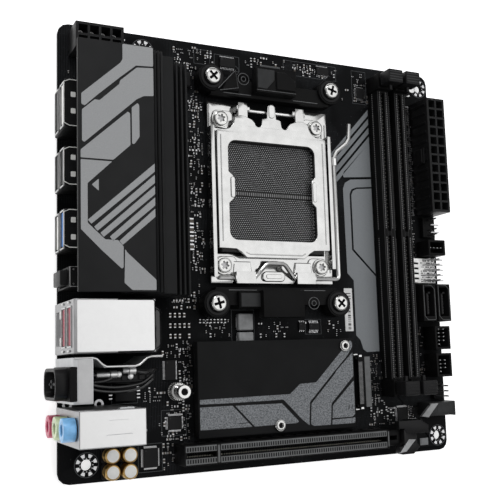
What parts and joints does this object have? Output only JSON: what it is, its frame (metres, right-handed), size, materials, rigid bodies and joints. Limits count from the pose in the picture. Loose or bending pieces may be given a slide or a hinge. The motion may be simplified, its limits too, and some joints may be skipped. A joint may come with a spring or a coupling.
{
  "type": "motherboard",
  "caption": "Small square computer motherboard with a hinged processor socket, memory and card slots, heatsinks, power headers and stacked rear connectors.",
  "frame": {"origin": "centre of the bounding box in plan, at the underside of the backplate that the board rests on", "axes": "+X from the rear connector edge to the power header edge, +Y from the expansion slot edge to the opposite edge, +Z out of the component side"},
  "size_m": [0.176, 0.17, 0.0389],
  "materials": {
    "board": "near-black solder mask over glass laminate, satin",
    "socket_steel": "bright nickel plate, satin",
    "backplate_steel": "black coated steel, satin",
    "screw_steel": "bright plated",
    "contact_field": "dark moulded plastic with fine contacts",
    "heatsink_coating": "charcoal anodised, satin",
    "light_print": "light grey print, matt",
    "thermal_pad": "soft matt",
    "chip": "moulded epoxy, matt",
    "black_plastic": "moulded, satin",
    "white_plastic": "moulded, satin",
    "grey_plastic": "moulded, satin",
    "tin_shell": "tinned sheet, satin",
    "pink_plastic": "moulded, gloss",
    "green_plastic": "moulded, gloss",
    "blue_plastic": "moulded, gloss",
    "red_plastic": "moulded, satin",
    "gold_contact": "gold flash, polished",
    "solder": "tinned, bright"
  },
  "bodies": {
    "board": {"pcb": "board", "socket_frame": "socket_steel", "load_plate_rod": "socket_steel", "socket_screw_1": "socket_steel", "socket_screw_2": "socket_steel", "socket_screw_3": "socket_steel", "socket_screw_4": "socket_steel", "cpu_backplate": "backplate_steel", "cooler_screw_1": "screw_steel", "cooler_screw_2": "screw_steel", "cooler_screw_3": "screw_steel", "cooler_screw_4": "screw_steel", "m2_heatsink_screw_1": "screw_steel", "m2_heatsink_screw_2": "screw_steel", "m2_standoff": "screw_steel", "socket_housing": "contact_field", "vrm_heatsink": "heatsink_coating", "m2_heatsink": "heatsink_coating", "vrm_thermal_pad": "thermal_pad", "chipset_thermal_pad": "thermal_pad", "vrm_power_stages": "chip", "chipset": "chip", "bios_chip": "chip", "wireless_module": "chip", "cooler_bracket_top": "black_plastic", "cooler_bracket_bottom": "black_plastic", "m2_connector": "black_plastic", "memory_slot_1": "black_plastic", "memory_slot_2": "black_plastic", "expansion_slot": "black_plastic", "main_power_header": "black_plastic", "cpu_power_header": "black_plastic", "fan_header": "black_plastic", "front_usb_header_1": "black_plastic", "front_usb_header_2": "black_plastic", "lighting_header": "black_plastic", "audio_front_header": "black_plastic", "sata_connector_1": "black_plastic", "sata_connector_2": "black_plastic", "antenna_socket": "black_plastic", "rear_button_housing": "black_plastic", "front_panel_header": "white_plastic", "front_usb3_connector": "grey_plastic", "display_connector": "tin_shell", "usb_stack_lower_speed": "tin_shell", "usb_stack_high_speed": "tin_shell", "network_usb_stack": "tin_shell", "audio_stack": "tin_shell", "wireless_bracket": "tin_shell", "audio_jack_pink": "pink_plastic", "audio_jack_green": "green_plastic", "audio_jack_blue": "blue_plastic"},
    "load_plate": {"load_plate": "socket_steel"},
    "load_lever": {"load_lever": "socket_steel"},
    "memory_latch_1_top": {"memory_latch_1_top": "black_plastic"},
    "memory_latch_1_bottom": {"memory_latch_1_bottom": "black_plastic"},
    "memory_latch_2_top": {"memory_latch_2_top": "black_plastic"},
    "memory_latch_2_bottom": {"memory_latch_2_bottom": "black_plastic"},
    "expansion_slot_latch": {"expansion_slot_latch": "black_plastic"},
    "rear_button": {"rear_button": "black_plastic"}
  },
  "joints": [
    {"name": "load_lever_hinge", "type": "hinge", "parent": "board", "child": "load_lever", "pos_m": [0.0037, -0.011, 0.0079], "axis": [1, 0, 0], "range_deg": [0, 115]},
    {"name": "load_plate_hinge", "type": "hinge", "parent": "board", "child": "load_plate", "pos_m": [0.0037, 0.0575, 0.0081], "axis": [-1, 0, 0], "range_deg": [0, 100]},
    {"name": "memory_latch_1_top_hinge", "type": "hinge", "parent": "board", "child": "memory_latch_1_top", "pos_m": [0.0584, 0.0766, 0.0095], "axis": [-1, 0, 0], "range_deg": [0, 30]},
    {"name": "memory_latch_1_bottom_hinge", "type": "hinge", "parent": "board", "child": "memory_latch_1_bottom", "pos_m": [0.0584, -0.0576, 0.0095], "axis": [1, 0, 0], "range_deg": [0, 30]},
    {"name": "memory_latch_2_top_hinge", "type": "hinge", "parent": "board", "child": "memory_latch_2_top", "pos_m": [0.0673, 0.0766, 0.0095], "axis": [-1, 0, 0], "range_deg": [0, 30]},
    {"name": "memory_latch_2_bottom_hinge", "type": "hinge", "parent": "board", "child": "memory_latch_2_bottom", "pos_m": [0.0673, -0.0576, 0.0095], "axis": [1, 0, 0], "range_deg": [0, 30]},
    {"name": "expansion_slot_latch_hinge", "type": "hinge", "parent": "board", "child": "expansion_slot_latch", "pos_m": [0.0595, -0.07725, 0.0071], "axis": [0, 1, 0], "range_deg": [0, 25], "stiffness_Nm_per_rad": 0.01},
    {"name": "rear_button_slide", "type": "slide", "parent": "board", "child": "rear_button", "axis": [1, 0, 0], "range_m": [0, 0.0012], "stiffness_N_per_m": 400}
  ]
}
